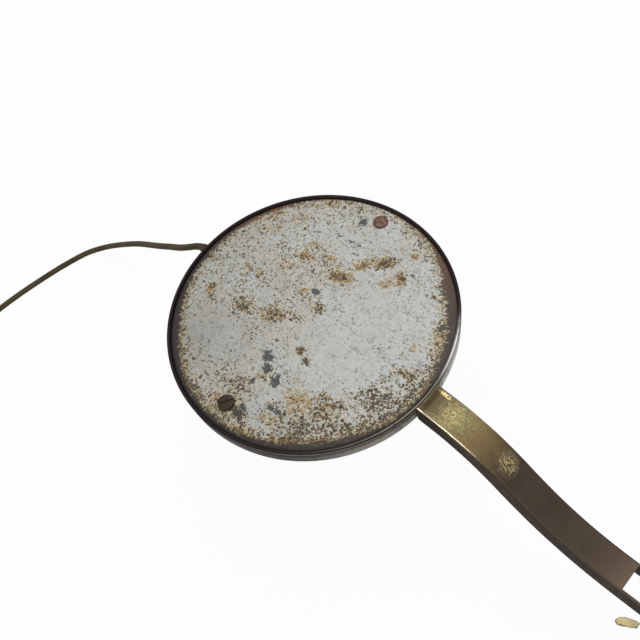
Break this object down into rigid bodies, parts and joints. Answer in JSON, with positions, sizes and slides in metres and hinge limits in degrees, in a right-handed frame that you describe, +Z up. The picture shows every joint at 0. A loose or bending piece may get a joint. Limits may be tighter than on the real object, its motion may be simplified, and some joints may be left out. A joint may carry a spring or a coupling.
{
  "type": "extendable shaving mirror",
  "caption": "Lit round shaving mirror with a screwed back plate, on a curved channel arm and a telescopic tube that folds down over a weighted round base, with a flat cord.",
  "frame": {"origin": "centre of the base's felt underside, where it rests on the table", "axes": "+Z up, the folded arm runs along -X from the base to the head"},
  "size_m": [0.7395, 0.3457, 0.098],
  "materials": {
    "case_brass": "aged, brown patina with bare satin patches",
    "plate_paint": "old off-white paint, rusted and pitted at the edge",
    "inner_paint": "white enamel",
    "rusty_screw": "rusted slotted screw",
    "steel": "satin",
    "iron": "as cast",
    "clear_glass": "polished",
    "frosted_glass": "frosted",
    "silvering": "silvered",
    "rubber": "aged",
    "flex": "matte olive-brown flex",
    "bakelite": "moulded, worn gloss",
    "fibre": "pressed fibre",
    "felt": "felt"
  },
  "bodies": {
    "base": {"base_shell": "case_brass", "base_weight": "iron", "bottom_plate": "steel", "base_felt": "felt", "tie_bolt": "steel", "fold_fork": "case_brass", "fork_screw_a": "rusty_screw", "fork_screw_b": "rusty_screw", "fold_bolt": "steel", "fold_nut_washer": "steel"},
    "fold_nut": {"fold_wing_nut": "case_brass"},
    "lower_arm": {"fold_eye": "case_brass", "outer_tube": "case_brass", "guide_bush": "fibre", "clamp_collar": "case_brass"},
    "clamp_screw": {"thumb_screw": "case_brass"},
    "upper_arm": {"inner_tube": "steel", "stop_plug": "case_brass", "tilt_eye": "case_brass"},
    "tilt_nut": {"tilt_wing_nut": "case_brass"},
    "button": {"switch_button": "bakelite"},
    "head": {"head_case": "case_brass", "plate_seat": "case_brass", "mirror_rim": "case_brass", "front_bezel": "case_brass", "swan_arm": "case_brass", "arm_root_block": "case_brass", "back_plate": "plate_paint", "reflector_pan": "inner_paint", "plate_screw_a": "rusty_screw", "plate_screw_b": "rusty_screw", "arm_screw_a": "rusty_screw", "arm_screw_b": "rusty_screw", "mirror_back": "steel", "mirror_bracket": "steel", "lamp_holder_a": "steel", "lamp_holder_b": "steel", "cord_clamp": "steel", "tilt_bolt": "steel", "tilt_nut_washer": "steel", "plug_pin_a": "steel", "plug_pin_b": "steel", "mirror_glass": "clear_glass", "frosted_ring": "frosted_glass", "festoon_lamp_a": "frosted_glass", "festoon_lamp_b": "frosted_glass", "mirror_silvering": "silvering", "glass_gasket": "rubber", "cord_grommet": "rubber", "cord": "flex", "cord_tail": "flex", "cord_coil": "flex", "cord_inner": "flex", "terminal_block": "bakelite", "switch_body": "bakelite", "plug_body": "bakelite", "tilt_washer_left": "fibre", "tilt_washer_right": "fibre", "cord_tie": "fibre"}
  },
  "joints": [
    {"name": "arm_fold", "type": "hinge", "parent": "base", "child": "lower_arm", "pos_m": [0.048, 0, 0.0465], "axis": [0, 1, 0], "range_deg": [0, 105]},
    {"name": "fold_nut_turn", "type": "hinge", "parent": "base", "child": "fold_nut", "pos_m": [0.048, 0, 0.0465], "axis": [0, 1, 0], "continuous": true},
    {"name": "arm_extension", "type": "slide", "parent": "lower_arm", "child": "upper_arm", "axis": [-1, 0, 0], "range_m": [0, 0.085]},
    {"name": "clamp_screw_turn", "type": "hinge", "parent": "lower_arm", "child": "clamp_screw", "pos_m": [-0.088, 0, 0.0465], "axis": [0, 1, 0], "continuous": true},
    {"name": "head_tilt", "type": "hinge", "parent": "upper_arm", "child": "head", "pos_m": [-0.125, 0, 0.0465], "axis": [0, 1, 0], "range_deg": [-15, 60]},
    {"name": "tilt_nut_turn", "type": "hinge", "parent": "head", "child": "tilt_nut", "pos_m": [-0.125, 0, 0.0465], "axis": [0, 1, 0], "continuous": true},
    {"name": "switch_press", "type": "slide", "parent": "head", "child": "button", "axis": [0.8572, -0.515, 0], "range_m": [0, 0.0025], "stiffness_N_per_m": 400}
  ]
}
